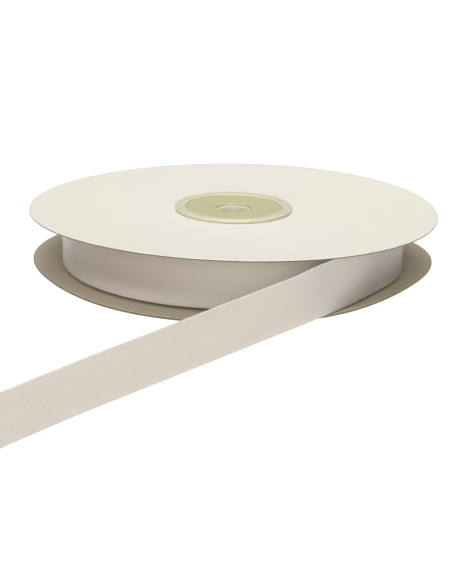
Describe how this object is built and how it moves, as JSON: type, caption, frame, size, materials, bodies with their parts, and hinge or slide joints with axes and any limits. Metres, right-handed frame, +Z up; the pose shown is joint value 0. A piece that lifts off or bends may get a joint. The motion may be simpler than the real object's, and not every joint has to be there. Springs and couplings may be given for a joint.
{
  "type": "roll of satin ribbon on a card spool",
  "caption": "Flat spool of wound satin ribbon: card flanges on a plastic hub with a through bore, the loose end drawn out to the front on its lower edge.",
  "frame": {"origin": "middle of the whole outline, spool and loose end together, on the surface the spool lies on", "axes": "+Z up along the spool's axis, +Y from the loose end towards the spool's back"},
  "size_m": [0.125, 0.221, 0.0194],
  "materials": {
    "card": "matt coated cream card",
    "hub_plastic": "semi-matt moulded khaki plastic",
    "satin": "silver-ivory satin weave with a soft sheen"
  },
  "bodies": {
    "root": {"card_flange_bottom": "card", "card_flange_top": "card", "hub_core": "hub_plastic", "hub_cap_top": "hub_plastic", "hub_cap_bottom": "hub_plastic", "ribbon_roll": "satin", "ribbon_tail": "satin"}
  },
  "joints": []
}
